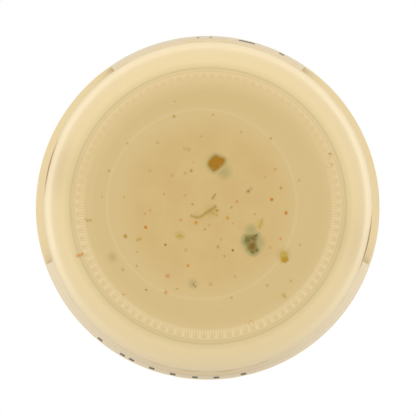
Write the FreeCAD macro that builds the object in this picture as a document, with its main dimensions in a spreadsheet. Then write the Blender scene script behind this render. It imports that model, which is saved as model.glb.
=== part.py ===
"""A glass jar of cheese dip: a round jar that widens upwards, its filling, two wrap labels and a
twist-off lid. The origin is the middle of the base, +Z is up and the front label faces -Y."""
import FreeCAD, Part
import math
import os
import Sketcher

SIZES = {
    # glass, overall
    "glass_height": 108.0,
    "bumper_radius": 43.2,       # widest ring, which keeps the labels off the next jar
    "wall": 2.4,
    # glass: places measured down from the rim
    "neck_length": 18.5,         # to where neck and shoulder would meet unrounded
    "shoulder_drop": 8.5,        # from there to where shoulder and wall would meet
    "bumper_drop": 13.5,         # from there to the widest ring
    # glass: the shallow cone that the labels lie on, set back a little from its ends
    "body_widening": 3.7,        # how much wider the jar is at the widest ring than at the heel
    "panel_inset": 0.4,
    "panel_ramp": 2.0,           # height of the slopes at the panel's foot and head
    "panel_rounding": 3.0,
    # glass: the rounded heel
    "heel_height": 10.5,
    "heel_lean": 0.4,            # how much the heel narrows down to its unrounded corner
    "heel_rounding": 6.9,
    "cavity_heel_rounding": 9.0,
    # glass: shoulder, neck and rim
    "neck_radius": 33.4,
    "shoulder_rounding": 17.0,
    "neck_rounding": 4.0,
    "neck_bead_drop": 13.0,      # from the rim to the bead that carried the neck in the mould
    "neck_bead_depth": 1.3,
    "neck_bead_height": 2.4,
    "neck_bead_rounding": 0.6,
    "rim_rounding": 0.9,
    # glass: the ring of bars that the jar stands on, and the pushed-up middle of the base
    "knurl_count": 98,
    "knurl_height": 0.35,
    "knurl_width": 0.9,
    "knurl_length": 2.7,
    "knurl_edge_gap": 0.3,       # from the bars out to the foot of the heel
    "push_up_gap": 0.9,          # from the bars in to the foot of the push-up
    "push_up_slope": 4.3,
    "push_up_depth": 2.9,
    "push_up_rounding": 2.5,
    "base_thickness": 2.8,
    # filling
    "headspace": 9.5,            # from the filling's level up to the rim
    # labels
    "label_thickness": 0.2,
    "label_margin": 1.0,         # bare glass between a label and the panel's ends
    "label_corner": 1.5,
    "front_label_angle": 141.0,
    "back_label_angle": 69.0,
    # lid
    "lid_sheet": 0.5,
    "lid_gap": 2.3,              # from the neck to the inside of the skirt
    "lid_skirt": 11.0,           # how far the skirt hangs down below the rim
    "lid_corner": 1.6,
    "lid_curl_depth": 0.6,       # the rolled hem, proud of the skirt outside and inside
    "lid_curl_height": 2.0,
    "lid_curl_rounding": 0.45,
    "lid_seal_width": 5.2,       # flat ring on the rim, from the outside of the neck inwards
    "lid_step": 1.1,             # drop from that ring to the lid's panel
    "lid_button_radius": 12.5,
    "lid_button_height": 0.45,
    "lid_slope": 0.7,            # width of the two short slopes in the lid's top
}


class Length:
    """A length as a number, together with the spreadsheet formula that it follows."""

    def __init__(self, value, formula):
        self.value = value
        self.formula = formula

    def joined(self, sign, other, value):
        formula = other.formula if isinstance(other, Length) else repr(other)
        return Length(value, f"({self.formula} {sign} {formula})")

    def __add__(self, other):
        return self.joined("+", other, self.value + number(other))

    def __sub__(self, other):
        return self.joined("-", other, self.value - number(other))

    def __mul__(self, other):
        return self.joined("*", other, self.value * number(other))

    def __truediv__(self, other):
        return self.joined("/", other, self.value / number(other))


def number(length):
    return length.value if isinstance(length, Length) else length


def hypotenuse(across, up):
    return Length(math.hypot(across.value, up.value), f"hypot({across.formula}; {up.formula})")


class Sheet:
    """Reads the named sizes as attributes, each bound to its spreadsheet cell."""

    def __getattr__(self, name):
        return Length(SIZES[name], f"sizes.{name}")


doc = FreeCAD.newDocument("queso_jar")
size = Sheet()
ZERO = Length(0.0, "0")

# Places on the glass that several outlines share.
neck_height = size.glass_height - size.neck_length
shoulder_height = neck_height - size.shoulder_drop
bumper_height = shoulder_height - size.bumper_drop
panel_top = bumper_height - size.panel_ramp
panel_bottom = size.heel_height + size.panel_ramp
heel_radius = size.bumper_radius - size.body_widening
panel_foot_radius = heel_radius - size.panel_inset
panel_head_radius = size.bumper_radius - size.panel_inset
mouth_radius = size.neck_radius - size.wall


def fill_spreadsheet():
    sheet = doc.addObject("Spreadsheet::Sheet", "sizes")
    for row, (name, value) in enumerate(SIZES.items(), 1):
        sheet.set(f"A{row}", name)
        sheet.set(f"B{row}", str(value))
        sheet.setAlias(f"B{row}", name)
    doc.recompute()


def new_body(label):
    body = doc.addObject("PartDesign::Body", label)
    body.Label = label
    return body


def origin_feature(body, role):
    return next(item for item in body.Origin.OriginFeatures if item.Role == role)


def new_sketch(body, name, plane):
    sketch = body.newObject("Sketcher::SketchObject", name)
    sketch.AttachmentSupport = [(origin_feature(body, plane), "")]
    sketch.MapMode = "FlatFace"
    return sketch


def bind(sketch, name, constraint, length):
    index = sketch.addConstraint(constraint)
    sketch.renameConstraint(index, name)
    sketch.setExpression(f"Constraints.{name}", length.formula)


def place_point(sketch, name, curve, end, across, up):
    """Holds one end of a curve at the distances across and up from the sketch's origin."""
    for axis, kind, length in ((-2, "DistanceX", across), (-1, "DistanceY", up)):
        if length.value == 0:
            sketch.addConstraint(Sketcher.Constraint("PointOnObject", curve, end, axis))
        else:
            rule = Sketcher.Constraint(kind, -1, 1, curve, end, length.value)
            bind(sketch, f"{name}_{kind[-1]}", rule, length)


def draw_outline(sketch, corners):
    """A closed outline of straight lines through (radius, height) corners."""
    points = [FreeCAD.Vector(across.value, up.value, 0) for across, up in corners]
    count = len(points)
    for index in range(count):
        sketch.addGeometry(Part.LineSegment(points[index], points[(index + 1) % count]))
    for index in range(count):
        following = (index + 1) % count
        sketch.addConstraint(Sketcher.Constraint("Coincident", index, 2, following, 1))
    for index, (across, up) in enumerate(corners):
        place_point(sketch, f"corner{index}", index, 1, across, up)


def draw_slot(sketch, inner, outer, width):
    """A bar with round ends, lying along the sketch's first axis from inner to outer."""
    half = width / 2
    start, end = inner + half, outer - half
    centres = (start.value, end.value)
    turn = math.pi / 2
    for centre, first in zip(centres, (turn, -turn)):
        circle = Part.Circle(FreeCAD.Vector(centre, 0, 0), FreeCAD.Vector(0, 0, 1), half.value)
        sketch.addGeometry(Part.ArcOfCircle(circle, first, first + math.pi))
    for side in (-half.value, half.value):
        sketch.addGeometry(Part.LineSegment(FreeCAD.Vector(centres[0], side, 0),
                                            FreeCAD.Vector(centres[1], side, 0)))
    for arc, arc_end, line, line_end in ((0, 2, 2, 1), (1, 1, 2, 2), (1, 2, 3, 2), (0, 1, 3, 1)):
        sketch.addConstraint(Sketcher.Constraint("Tangent", arc, arc_end, line, line_end))
    place_point(sketch, "inner", 0, 3, start, ZERO)
    place_point(sketch, "outer", 1, 3, end, ZERO)
    bind(sketch, "end_radius", Sketcher.Constraint("Radius", 0, half.value), half)


def revolve(body, name, corners, kind="PartDesign::Revolution"):
    """Turns an outline of (radius, height) corners about Z, to add to the body or to cut it."""
    sketch = new_sketch(body, f"{name}_outline", "XZ_Plane")
    draw_outline(sketch, corners)
    feature = body.newObject(kind, name)
    feature.Profile = sketch
    feature.ReferenceAxis = (sketch, ["V_Axis"])
    feature.Angle = 360
    doc.recompute()
    return feature


def is_ring(edge, radius, height):
    curve = edge.Curve
    return (isinstance(curve, Part.Circle) and abs(curve.Radius - radius) < 1e-4
            and abs(curve.Center.z - height) < 1e-4)


def round_rings(body, name, rounding, corners):
    """Rounds the circular edges that the (radius, height) corners of an outline left."""
    doc.recompute()
    base = body.Tip
    names = [f"Edge{index}" for across, up in corners
             for index, edge in enumerate(base.Shape.Edges, 1)
             if is_ring(edge, across.value, up.value)]
    if len(names) != len(corners):
        raise RuntimeError(f"{name}: {len(names)} edges found for {len(corners)} corners")
    fillet = body.newObject("PartDesign::Fillet", name)
    fillet.Base = (base, names)
    fillet.setExpression("Radius", rounding.formula)
    return fillet


def panel_radius(height):
    """Outside radius of the conical label panel, carried on straight above and below it."""
    slope = (panel_head_radius - panel_foot_radius) / (panel_top - panel_bottom)
    return panel_foot_radius + slope * (height - panel_bottom)


def shoulder_inset():
    """How much lower the hollow's shoulder lies than the outer one, so that the wall is even."""
    across = size.bumper_radius - size.neck_radius
    return size.wall * ((hypotenuse(across, size.shoulder_drop) - size.shoulder_drop) / across)


def cavity_corners():
    """Corners of the jar's hollow, from the edge of its floor to the foot of the neck."""
    floor = size.push_up_depth + size.base_thickness
    return [
        (panel_radius(floor) - size.wall, floor),
        (panel_head_radius - size.wall, panel_top),
        (size.bumper_radius - size.wall, bumper_height),
        (size.bumper_radius - size.wall, shoulder_height - shoulder_inset()),
        (mouth_radius, neck_height - shoulder_inset()),
    ]


def close_on_axis(corners, top):
    """The same corners, carried up to a flat top and closed along the axis."""
    return [(ZERO, corners[0][1])] + corners + [(corners[-1][0], top), (ZERO, top)]


def round_cavity(body, prefix):
    """The hollow's roundings, alike in the glass and in what fills it."""
    floor, panel_head, bumper, shoulder, neck = cavity_corners()
    round_rings(body, f"{prefix}_floor_rounding", size.cavity_heel_rounding, [floor])
    round_rings(body, f"{prefix}_panel_rounding", size.panel_rounding, [panel_head, bumper])
    round_rings(body, f"{prefix}_shoulder_rounding", size.shoulder_rounding - size.wall,
                [shoulder])
    round_rings(body, f"{prefix}_neck_rounding", size.neck_rounding + size.wall, [neck])


def add_knurls(body, inner, outer):
    """The ring of short bars under the base: one bar, rooted in the glass and repeated."""
    sketch = new_sketch(body, "knurl_outline", "XY_Plane")
    draw_slot(sketch, inner, outer, size.knurl_width)
    bar = body.newObject("PartDesign::Pad", "knurl")
    bar.Profile = sketch
    bar.setExpression("Length", (size.knurl_height * 2).formula)
    doc.recompute()
    ring = body.newObject("PartDesign::PolarPattern", "knurls")
    ring.Originals = [bar]
    ring.Axis = (sketch, ["N_Axis"])
    ring.Angle = 360
    ring.setExpression("Occurrences", size.knurl_count.formula)
    body.Tip = ring
    doc.recompute()


def build_jar():
    body = new_body("jar")
    heel_corner = (heel_radius - size.heel_lean, size.knurl_height)
    knurl_outer = heel_corner[0] - size.heel_rounding - size.knurl_edge_gap
    knurl_inner = knurl_outer - size.knurl_length
    push_up_foot = knurl_inner - size.push_up_gap
    push_up = [(push_up_foot - size.push_up_slope, size.push_up_depth),
               (push_up_foot, size.knurl_height)]
    heel = (heel_radius, size.heel_height)
    panel = [(panel_foot_radius, panel_bottom), (panel_head_radius, panel_top)]
    bumper = (size.bumper_radius, bumper_height)
    shoulder = (size.bumper_radius, shoulder_height)
    neck = (size.neck_radius, neck_height)
    bead_top = size.glass_height - size.neck_bead_drop
    bead_bottom = bead_top - size.neck_bead_height
    bead_radius = size.neck_radius + size.neck_bead_depth
    bead = [(bead_radius, bead_bottom + size.neck_bead_rounding),
            (bead_radius, bead_top - size.neck_bead_rounding)]
    rim = (size.neck_radius, size.glass_height)
    mouth = (mouth_radius, size.glass_height)
    solid = revolve(body, "outside", [
        (ZERO, size.push_up_depth), *push_up, heel_corner, heel, *panel, bumper, shoulder, neck,
        (size.neck_radius, bead_bottom), *bead, (size.neck_radius, bead_top),
        rim, (ZERO, size.glass_height)])
    before = solid.Shape.Volume
    hollow = revolve(body, "hollow", close_on_axis(cavity_corners(), size.glass_height),
                     "PartDesign::Groove")
    if hollow.Shape.Volume > before - 1:
        raise RuntimeError("the hollow cuts nothing out of the glass")
    round_rings(body, "heel_rounding", size.heel_rounding, [heel_corner])
    round_rings(body, "push_up_rounding", size.push_up_rounding, push_up)
    round_rings(body, "panel_rounding", size.panel_rounding, [heel, *panel, bumper])
    round_rings(body, "shoulder_rounding", size.shoulder_rounding, [shoulder])
    round_rings(body, "neck_rounding", size.neck_rounding, [neck])
    round_rings(body, "bead_rounding", size.neck_bead_rounding, bead)
    round_cavity(body, "hollow")
    round_rings(body, "rim_rounding", size.rim_rounding, [rim, mouth])
    add_knurls(body, knurl_inner, knurl_outer)
    return body


def build_queso():
    body = new_body("queso")
    level = size.glass_height - size.headspace
    revolve(body, "filling", close_on_axis(cavity_corners(), level))
    round_cavity(body, "filling")
    doc.recompute()
    return body


def build_label(name, angle, facing):
    """A paper label wrapped on the panel, its middle turned to the facing angle about Z."""
    body = new_body(name)
    bottom = panel_bottom + size.label_margin
    top = panel_top - size.label_margin
    section = [(panel_radius(bottom), bottom),
               (panel_radius(bottom) + size.label_thickness, bottom),
               (panel_radius(top) + size.label_thickness, top),
               (panel_radius(top), top)]
    wrap = revolve(body, f"{name}_wrap", section)
    wrap.Midplane = True
    wrap.setExpression("Angle", angle.formula)
    doc.recompute()
    corners = [f"Edge{index}" for index, edge in enumerate(wrap.Shape.Edges, 1)
               if abs(edge.Length - size.label_thickness.value) < 1e-4]
    rounding = body.newObject("PartDesign::Fillet", f"{name}_corners")
    rounding.Base = (wrap, corners)
    rounding.setExpression("Radius", size.label_corner.formula)
    body.Placement = FreeCAD.Placement(FreeCAD.Vector(), FreeCAD.Vector(0, 0, 1), facing)
    doc.recompute()
    return body


def build_lid():
    """A pressed steel lid: panel with its button, ring on the rim, skirt and rolled hem."""
    body = new_body("lid")
    sheet = size.lid_sheet
    rim = size.glass_height
    top = rim + sheet
    panel_top = top - size.lid_step
    button_top = panel_top + size.lid_button_height
    button = size.lid_button_radius
    step = size.neck_radius - size.lid_seal_width
    inside = size.neck_radius + size.lid_gap
    outside = inside + sheet
    hem_out = outside + size.lid_curl_depth
    hem_in = inside - size.lid_curl_depth
    bottom = rim - size.lid_skirt
    hem_top = bottom + size.lid_curl_height
    over = [(ZERO, button_top), (button, button_top), (button + size.lid_slope, panel_top),
            (step - size.lid_slope, panel_top), (step, top), (outside, top)]
    hem = [(hem_out, hem_top), (hem_out, bottom), (hem_in, bottom), (hem_in, hem_top)]
    under = [(inside, rim), (step, rim), (step - size.lid_slope, panel_top - sheet),
             (button + size.lid_slope, panel_top - sheet), (button, button_top - sheet),
             (ZERO, button_top - sheet)]
    revolve(body, "pressing", [*over, (outside, hem_top), *hem, (inside, hem_top), *under])
    round_rings(body, "corner_rounding", size.lid_corner, [(outside, top)])
    round_rings(body, "hem_rounding", size.lid_curl_rounding, hem)
    doc.recompute()
    return body


def check_document():
    for item in doc.Objects:
        if {"Invalid", "Error"} & set(item.State):
            raise RuntimeError(f"{item.Name} failed: {item.State}")


def export(bodies):
    os.makedirs("parts", exist_ok=True)
    for body in bodies:
        shape = body.Shape
        if shape.isNull() or not shape.isValid() or len(shape.Solids) != 1:
            raise RuntimeError(f"{body.Label} is not one sound solid")
        shape.exportStep(f"parts/{body.Label}.step")
        print(f"{body.Label}: {shape.Volume / 1000:.2f} ml, {len(shape.Faces)} faces")


fill_spreadsheet()
bodies = [
    build_jar(),
    build_queso(),
    build_label("label_front", size.front_label_angle, -90),
    build_label("label_back", size.back_label_angle, 90),
    build_lid(),
]
check_document()
export(bodies)
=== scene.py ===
# %% [markdown]
# # A jar of queso, seen from below
#
# The real object is a round glass jar, blown in a mould, filled hot with a pale cheese dip, closed
# with a pressed steel lid and wrapped with a front and a back paper label. The CAD model gives the
# sizes. This lesson dresses it: glass with its ring of gripping bars, the dip with its bits of
# pepper, the printed paper and the enamelled lid.

# %% Load the frame
import math
import random

import bmesh
import bpy
from mathutils import Matrix, Vector, noise


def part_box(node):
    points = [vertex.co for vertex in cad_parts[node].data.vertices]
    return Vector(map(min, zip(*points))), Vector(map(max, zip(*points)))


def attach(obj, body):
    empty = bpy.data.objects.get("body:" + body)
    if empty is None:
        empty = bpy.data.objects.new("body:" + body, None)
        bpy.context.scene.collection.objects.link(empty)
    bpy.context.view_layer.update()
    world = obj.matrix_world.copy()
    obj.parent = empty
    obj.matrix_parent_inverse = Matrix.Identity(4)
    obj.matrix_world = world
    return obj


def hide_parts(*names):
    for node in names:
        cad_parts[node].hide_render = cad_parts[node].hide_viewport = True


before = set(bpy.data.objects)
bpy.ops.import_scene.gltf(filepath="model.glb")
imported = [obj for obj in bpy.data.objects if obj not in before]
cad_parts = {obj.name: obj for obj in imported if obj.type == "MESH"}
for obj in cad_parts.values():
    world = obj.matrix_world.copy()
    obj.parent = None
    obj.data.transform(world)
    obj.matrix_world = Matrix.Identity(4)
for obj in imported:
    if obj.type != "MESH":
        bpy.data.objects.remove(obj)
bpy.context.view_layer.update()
MM = 0.001
random.seed(15)

# %% [markdown]
# ## Helpers for materials
#
# Each finish is a small tree of shader nodes. They could be placed by hand in the shader editor, but
# most trees here repeat the same few moves, so each move is a short function: add a node, do a sum,
# ease from one value to another, lay one colour over another. Colours are written as sRGB hex
# values, as a colour picker shows them. Blender's sockets want linear numbers, so one function
# turns them.


# %% Colours and nodes
def hex_to_linear(code):
    """The linear colour that a socket wants, from an sRGB hex code."""
    channels = [int(code[index:index + 2], 16) / 255 for index in (1, 3, 5)]
    linear = [c / 12.92 if c <= 0.04045 else ((c + 0.055) / 1.055) ** 2.4 for c in channels]
    return (*linear, 1.0)


def add_node(tree, kind, inputs=None, **settings):
    """A node with its settings; an input, by name or number, is a value or an output to link."""
    node = tree.nodes.new(kind)
    for name, value in settings.items():
        setattr(node, name, value)
    for name, value in (inputs or {}).items():
        socket = node.inputs[name]
        if isinstance(value, bpy.types.NodeSocket):
            tree.links.new(value, socket)
        else:
            socket.default_value = value
    return node


def new_material(name):
    material = bpy.data.materials.new(name)
    material.use_nodes = True
    material.node_tree.nodes.clear()
    return material, material.node_tree


def finish_material(tree, surface):
    add_node(tree, "ShaderNodeOutputMaterial", {"Surface": surface})


# %% Sums, eased steps and layers of colour
def maths(tree, operation, *values):
    return add_node(tree, "ShaderNodeMath", dict(enumerate(values)),
                    operation=operation).outputs["Value"]


def vector_maths(tree, operation, *values, output="Vector"):
    return add_node(tree, "ShaderNodeVectorMath", dict(enumerate(values)),
                    operation=operation).outputs[output]


def remap(tree, value, start, end, low=0.0, high=1.0, kind="SMOOTHSTEP"):
    """Goes from low, where value is start, to high, where it is end, and stays there."""
    return add_node(tree, "ShaderNodeMapRange", {0: value, 1: start, 2: end, 3: low, 4: high},
                    interpolation_type=kind).outputs["Result"]


def cover(tree, under, over, mask):
    """One colour over another, where the mask is 1."""
    return add_node(tree, "ShaderNodeMix", {0: mask, 6: under, 7: over},
                    data_type="RGBA").outputs[2]


def paint(tree, under, code, mask):
    return cover(tree, under, hex_to_linear(code), mask)


def colour_ramp(tree, share, stops):
    """The colour for a share from 0 to 1, by (position, linear colour) stops."""
    ramp = add_node(tree, "ShaderNodeValToRGB", {0: share})
    elements = ramp.color_ramp.elements
    while len(elements) < len(stops):
        elements.new(1.0)
    for element, (position, colour) in zip(elements, stops):
        element.position = position
        element.color = colour
    return ramp.outputs["Color"]


def mix_shaders(tree, share, first, second):
    return add_node(tree, "ShaderNodeMixShader",
                    {0: share, 1: first, 2: second}).outputs["Shader"]


# %% [markdown]
# ## Helpers for meshes
#
# A jar is a turned shape. Its outline is a chain of a few corners, each rounded like a fillet with
# a vertex bevel, and a spin about the axis sweeps it into a wall. A lathe-like spin keeps the rings
# exactly round, which matters in glass because every flat spot shows in its highlights.

# %% Outlines and spins
DEGREES_PER_FACET = 8
SAME_PLACE = 0.002


def chain(bm, corners):
    """A wire through (radius, height, rounding) corners in millimetres, rounded where asked."""
    points = [Vector((radius * MM, 0, height * MM)) for radius, height, _ in corners]
    verts = [bm.verts.new(point) for point in points]
    for first, second in zip(verts, verts[1:]):
        bm.edges.new((first, second))
    for index, (_, _, rounding) in enumerate(corners):
        if not rounding:
            continue
        turn = (points[index] - points[index - 1]).angle(points[index + 1] - points[index])
        segments = max(2, math.ceil(math.degrees(turn) / DEGREES_PER_FACET))
        bmesh.ops.bevel(bm, geom=[verts[index]], offset=rounding * MM * math.tan(turn / 2),
                        offset_type="OFFSET", segments=segments, profile=0.5,
                        affect="VERTICES", material=-1)


def spin(bm, steps):
    geometry = list(bm.verts) + list(bm.edges)
    bmesh.ops.spin(bm, geom=geometry, cent=(0, 0, 0), axis=(0, 0, 1), angle=math.tau,
                   steps=steps, use_merge=True, use_duplicate=False)
    bmesh.ops.remove_doubles(bm, verts=bm.verts, dist=SAME_PLACE * MM)
    bmesh.ops.recalc_face_normals(bm, faces=bm.faces)


# %% Objects
def make_object(bm, name, material, crease=40):
    """Turns a bmesh into a smooth object; edges sharper than crease degrees stay crisp."""
    for edge in bm.edges:
        edge.smooth = not edge.is_manifold or edge.calc_face_angle() < math.radians(crease)
    mesh = bpy.data.meshes.new(name)
    bm.to_mesh(mesh)
    bm.free()
    mesh.materials.append(material)
    mesh.polygons.foreach_set("use_smooth", [True] * len(mesh.polygons))
    piece = bpy.data.objects.new(name, mesh)
    bpy.context.scene.collection.objects.link(piece)
    triangles = sum(len(face.vertices) - 2 for face in mesh.polygons)
    print(name, len(mesh.vertices), "vertices", triangles, "triangles")
    return piece


# %% Places round the axis
def radius_of(vert):
    return math.hypot(vert.co.x, vert.co.y) / MM


def angle_of(vert):
    return math.atan2(vert.co.y, vert.co.x)


def around(radius, angle, height):
    """A point in metres, from millimetres and an angle round the axis in radians."""
    return Vector((radius * math.cos(angle), radius * math.sin(angle), height)) * MM


def beside(angle, count):
    """How far an angle is from the nearest of count even places round a turn, in radians."""
    return abs((angle * count / math.tau + 0.5) % 1 - 0.5) * math.tau / count


def smooth_step(value, low, high):
    share = min(1.0, max(0.0, (value - low) / (high - low)))
    return share * share * (3 - 2 * share)


# %% [markdown]
# ## The sizes that the pieces share
#
# The heights and radii are the CAD model's, in millimetres. The rim's height comes from the frame
# and the places above the panel are measured down from it. The label panel leans out by a few
# degrees, as a tapered jar's does, so one function gives its radius at any height.

# %% Shared sizes
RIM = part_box("jar")[1].z / MM
WIDEST = 43.2
WALL = 2.4
NECK = 33.4
NECK_FOOT = RIM - 18.5
NECK_ROUNDING = 4.0
SHOULDER = NECK_FOOT - 8.5
SHOULDER_ROUNDING = 17.0
BUMPER = SHOULDER - 13.5
PANEL = (12.5, BUMPER - 2.0)
PANEL_RADII = (39.1, 42.8)
PANEL_LEAN = (PANEL_RADII[1] - PANEL_RADII[0]) / (PANEL[1] - PANEL[0])
PANEL_ROUNDING = 3.0
LAND = 0.35
PUSH_UP = 2.9
FLOOR = PUSH_UP + 2.8
FLOOR_ROUNDING = 9.0


def panel_radius(height):
    return PANEL_RADII[0] + PANEL_LEAN * (height - PANEL[0])


print("rim", RIM, "panel", PANEL, "leans", round(math.degrees(math.atan(PANEL_LEAN)), 2))

# %% [markdown]
# ## The jar's hollow
#
# The hollow follows the outside at one wall's distance. On a slope the same corner has to move down
# as well as in, which the inset works out from the slope's length. The dip fills this hollow, so the
# corners are a function that the dip uses too, grown a little into the wall.

# %% Corners of the hollow
shoulder_across = WIDEST - NECK
shoulder_up = NECK_FOOT - SHOULDER
INSET = WALL * (math.hypot(shoulder_across, shoulder_up) - shoulder_up) / shoulder_across


def hollow_corners(grow):
    """Corners of the jar's hollow up to the neck's foot, moved outwards into the wall by grow."""
    out = grow - WALL
    return [
        (panel_radius(FLOOR) + out, FLOOR - grow, FLOOR_ROUNDING),
        (PANEL_RADII[1] + out, PANEL[1], PANEL_ROUNDING),
        (WIDEST + out, BUMPER, PANEL_ROUNDING),
        (WIDEST + out, SHOULDER - INSET, SHOULDER_ROUNDING - WALL),
        (NECK + out, NECK_FOOT - INSET, NECK_ROUNDING + WALL),
    ]


print("shoulder inset", round(INSET, 3))

# %% [markdown]
# ## Soda-lime glass
#
# Jar glass is soda-lime, blown into an iron mould. It gives the eye crisp highlights and faint
# waves from the mould. The Glass BSDF alone would do, but it mirrors so much at a grazing look that
# the thin wall round the base turns white. Here a refracting and a mirroring shader are mixed by
# the Fresnel share, and outside that share has a limit. Light from the lamps has to reach the dip
# through the wall. A path tracer can't find those rays through a refracting wall, so rays from lamps
# and from diffuse bounces pass straight through.

# %% Glass material
GLASS_IOR = 1.52
GRAZING_LIMIT = 0.18
GLASS_TINT, CLEAR_TINT = "#FAFCFA", "#F8FAF8"


def glass_material():
    material, tree = new_material("moulded_soda_lime_glass")
    place = add_node(tree, "ShaderNodeTexCoord")
    wave = add_node(tree, "ShaderNodeTexNoise",
                    {"Vector": place.outputs["Object"], "Scale": 90.0, "Detail": 1.0})
    ripple = add_node(tree, "ShaderNodeBump", {
        "Height": wave.outputs["Fac"], "Strength": 0.05, "Distance": 0.0006}).outputs["Normal"]
    share = add_node(tree, "ShaderNodeFresnel",
                     {"IOR": GLASS_IOR, "Normal": ripple}).outputs["Fac"]
    side = add_node(tree, "ShaderNodeNewGeometry")
    outer = maths(tree, "MINIMUM", share, GRAZING_LIMIT)
    inner = maths(tree, "MULTIPLY", share, side.outputs["Backfacing"])
    bent = add_node(tree, "ShaderNodeBsdfRefraction", {
        "Color": hex_to_linear(GLASS_TINT), "Roughness": 0.0, "IOR": GLASS_IOR, "Normal": ripple})
    mirror = add_node(tree, "ShaderNodeBsdfAnisotropic",
                      {"Color": (1, 1, 1, 1), "Roughness": 0.05, "Normal": ripple})
    glass = mix_shaders(tree, maths(tree, "MAXIMUM", outer, inner), bent.outputs["BSDF"],
                        mirror.outputs["BSDF"])
    clear = add_node(tree, "ShaderNodeBsdfTransparent", {"Color": hex_to_linear(CLEAR_TINT)})
    rays = add_node(tree, "ShaderNodeLightPath")
    lamp_rays = maths(tree, "MAXIMUM", rays.outputs["Is Shadow Ray"],
                      rays.outputs["Is Diffuse Ray"])
    finish_material(tree, mix_shaders(tree, lamp_rays, glass, clear.outputs["BSDF"]))
    return material


# %% [markdown]
# ## The jar's outline
#
# Outside, base and hollow are one closed outline, so the wall has its true thickness and refracts
# as it should. The base carries two marks of the mould: a seam round the bottom plate, and a faint
# circle, a little off centre, where the baffle plate closed the first mould. Both are corners of
# the outline, a tenth of a millimetre high or less. The neck has a bead and a rounded rim.

# %% Sizes of the base and neck
PLATEAU_RINGS = (4.0, 12.0, 19.0)
BAFFLE_RADIUS = 22.7
BAFFLE_HALF = 0.25
BAFFLE_PROUD = 0.08
PUSH_UP_SLOPE = (24.0, 28.3)
PUSH_UP_ROUNDING = 2.5
KNURL_RINGS = (29.0, 29.25, 29.5, 29.8, 30.5, 31.2, 31.45, 31.7, 31.95)
SEAM_RADIUS = 32.55
SEAM_PROUD = 0.10
HEEL_ROUNDING = 6.0
HEEL_TOP = (39.5, 10.5)
BEAD_OUT = 1.3
BEAD_ROUNDING = 0.6
RIM_ROUNDING = 0.9


# %% Outline of the jar
def base_corners():
    plateau = [(radius, PUSH_UP, 0) for radius in PLATEAU_RINGS]
    baffle = [(BAFFLE_RADIUS - BAFFLE_HALF, PUSH_UP, 0), (BAFFLE_RADIUS, PUSH_UP - BAFFLE_PROUD, 0),
              (BAFFLE_RADIUS + BAFFLE_HALF, PUSH_UP, 0)]
    slope = [(PUSH_UP_SLOPE[0], PUSH_UP, PUSH_UP_ROUNDING),
             (PUSH_UP_SLOPE[1], LAND, PUSH_UP_ROUNDING)]
    bars = [(radius, LAND, 0) for radius in KNURL_RINGS]
    seam = [(SEAM_RADIUS - 0.35, LAND, 0), (SEAM_RADIUS - 0.1, LAND - SEAM_PROUD, 0),
            (SEAM_RADIUS + 0.1, LAND - SEAM_PROUD, 0), (SEAM_RADIUS + 0.3, LAND, 0)]
    return [(0, PUSH_UP, 0), *plateau, *baffle, *slope, *bars, *seam]


def outside_corners():
    body = [(PANEL_RADII[0], LAND, HEEL_ROUNDING), (*HEEL_TOP, PANEL_ROUNDING),
            (PANEL_RADII[0], PANEL[0], PANEL_ROUNDING), (PANEL_RADII[1], PANEL[1], PANEL_ROUNDING),
            (WIDEST, BUMPER, PANEL_ROUNDING), (WIDEST, SHOULDER, SHOULDER_ROUNDING),
            (NECK, NECK_FOOT, NECK_ROUNDING)]
    bead = [(NECK, RIM - 15.4, 0), (NECK + BEAD_OUT, RIM - 14.8, BEAD_ROUNDING),
            (NECK + BEAD_OUT, RIM - 13.6, BEAD_ROUNDING), (NECK, RIM - 13.0, 0)]
    return [*body, *bead, (NECK, RIM, RIM_ROUNDING), (NECK - WALL, RIM, RIM_ROUNDING)]


KNURLS = 98
STEPS_PER_KNURL = 4
bm = bmesh.new()
chain(bm, [*base_corners(), *outside_corners(), *reversed(hollow_corners(0)), (0, FLOOR, 0)])
print("outline points", len(bm.verts))
spin(bm, KNURLS * STEPS_PER_KNURL)

# %% [markdown]
# ## Gripping bars
#
# Jars stand on a ring of short bars, cut into the mould, so that only their crests touch the belt
# of the filling line. They could be separate boxes joined to the base, but glass shows every join.
# Here the ring's own mesh is cut finer and its points are lowered in 98 smooth crests, so the bars
# are part of the wall and refract with it. They fade out towards the seam. The same pass moves the
# baffle circle off centre and lifts the two fine upright seams where the mould's halves met.

# %% Finer mesh under the bars
KNURL_CUTS = 2
KNURL_BAND = (29.2, 31.9)
KNURL_HALF = 0.62
LEVEL = 0.01


def is_knurl_edge(edge):
    """True for the short edges that run round the jar in the knurled band."""
    first, second = edge.verts
    band = KNURL_BAND[0] - 0.1 < radius_of(first) < KNURL_BAND[1] + 0.1
    on_land = abs(first.co.z - LAND * MM) < LEVEL * MM
    return band and on_land and abs(radius_of(first) - radius_of(second)) < LEVEL


short_edges = [edge for edge in bm.edges if is_knurl_edge(edge)]
print("edges under the bars", len(short_edges))
bmesh.ops.subdivide_edges(bm, edges=short_edges, cuts=KNURL_CUTS, use_grid_fill=True)


# %% Bars, baffle shift and upright seams
def crest(vert):
    """1 on the crest of a bar, 0 between the bars and outside their ring."""
    radius = radius_of(vert)
    aside = beside(angle_of(vert), KNURLS) * radius
    inner, outer = KNURL_BAND
    ends = smooth_step(radius, inner, inner + 0.5) * (1 - smooth_step(radius, outer - 1.5, outer))
    return ends * (1 - smooth_step(aside, 0.1, KNURL_HALF))


MOULD_HALVES = 2
MOULD_SEAM_DEGREES = 0.3
MOULD_SEAM_PROUD = 0.10


def on_mould_seam(vert):
    """True for the outside points where the halves of the mould met."""
    in_line = math.degrees(beside(angle_of(vert), MOULD_HALVES)) < MOULD_SEAM_DEGREES
    return in_line and vert.normal.x * vert.co.x > 0


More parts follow.
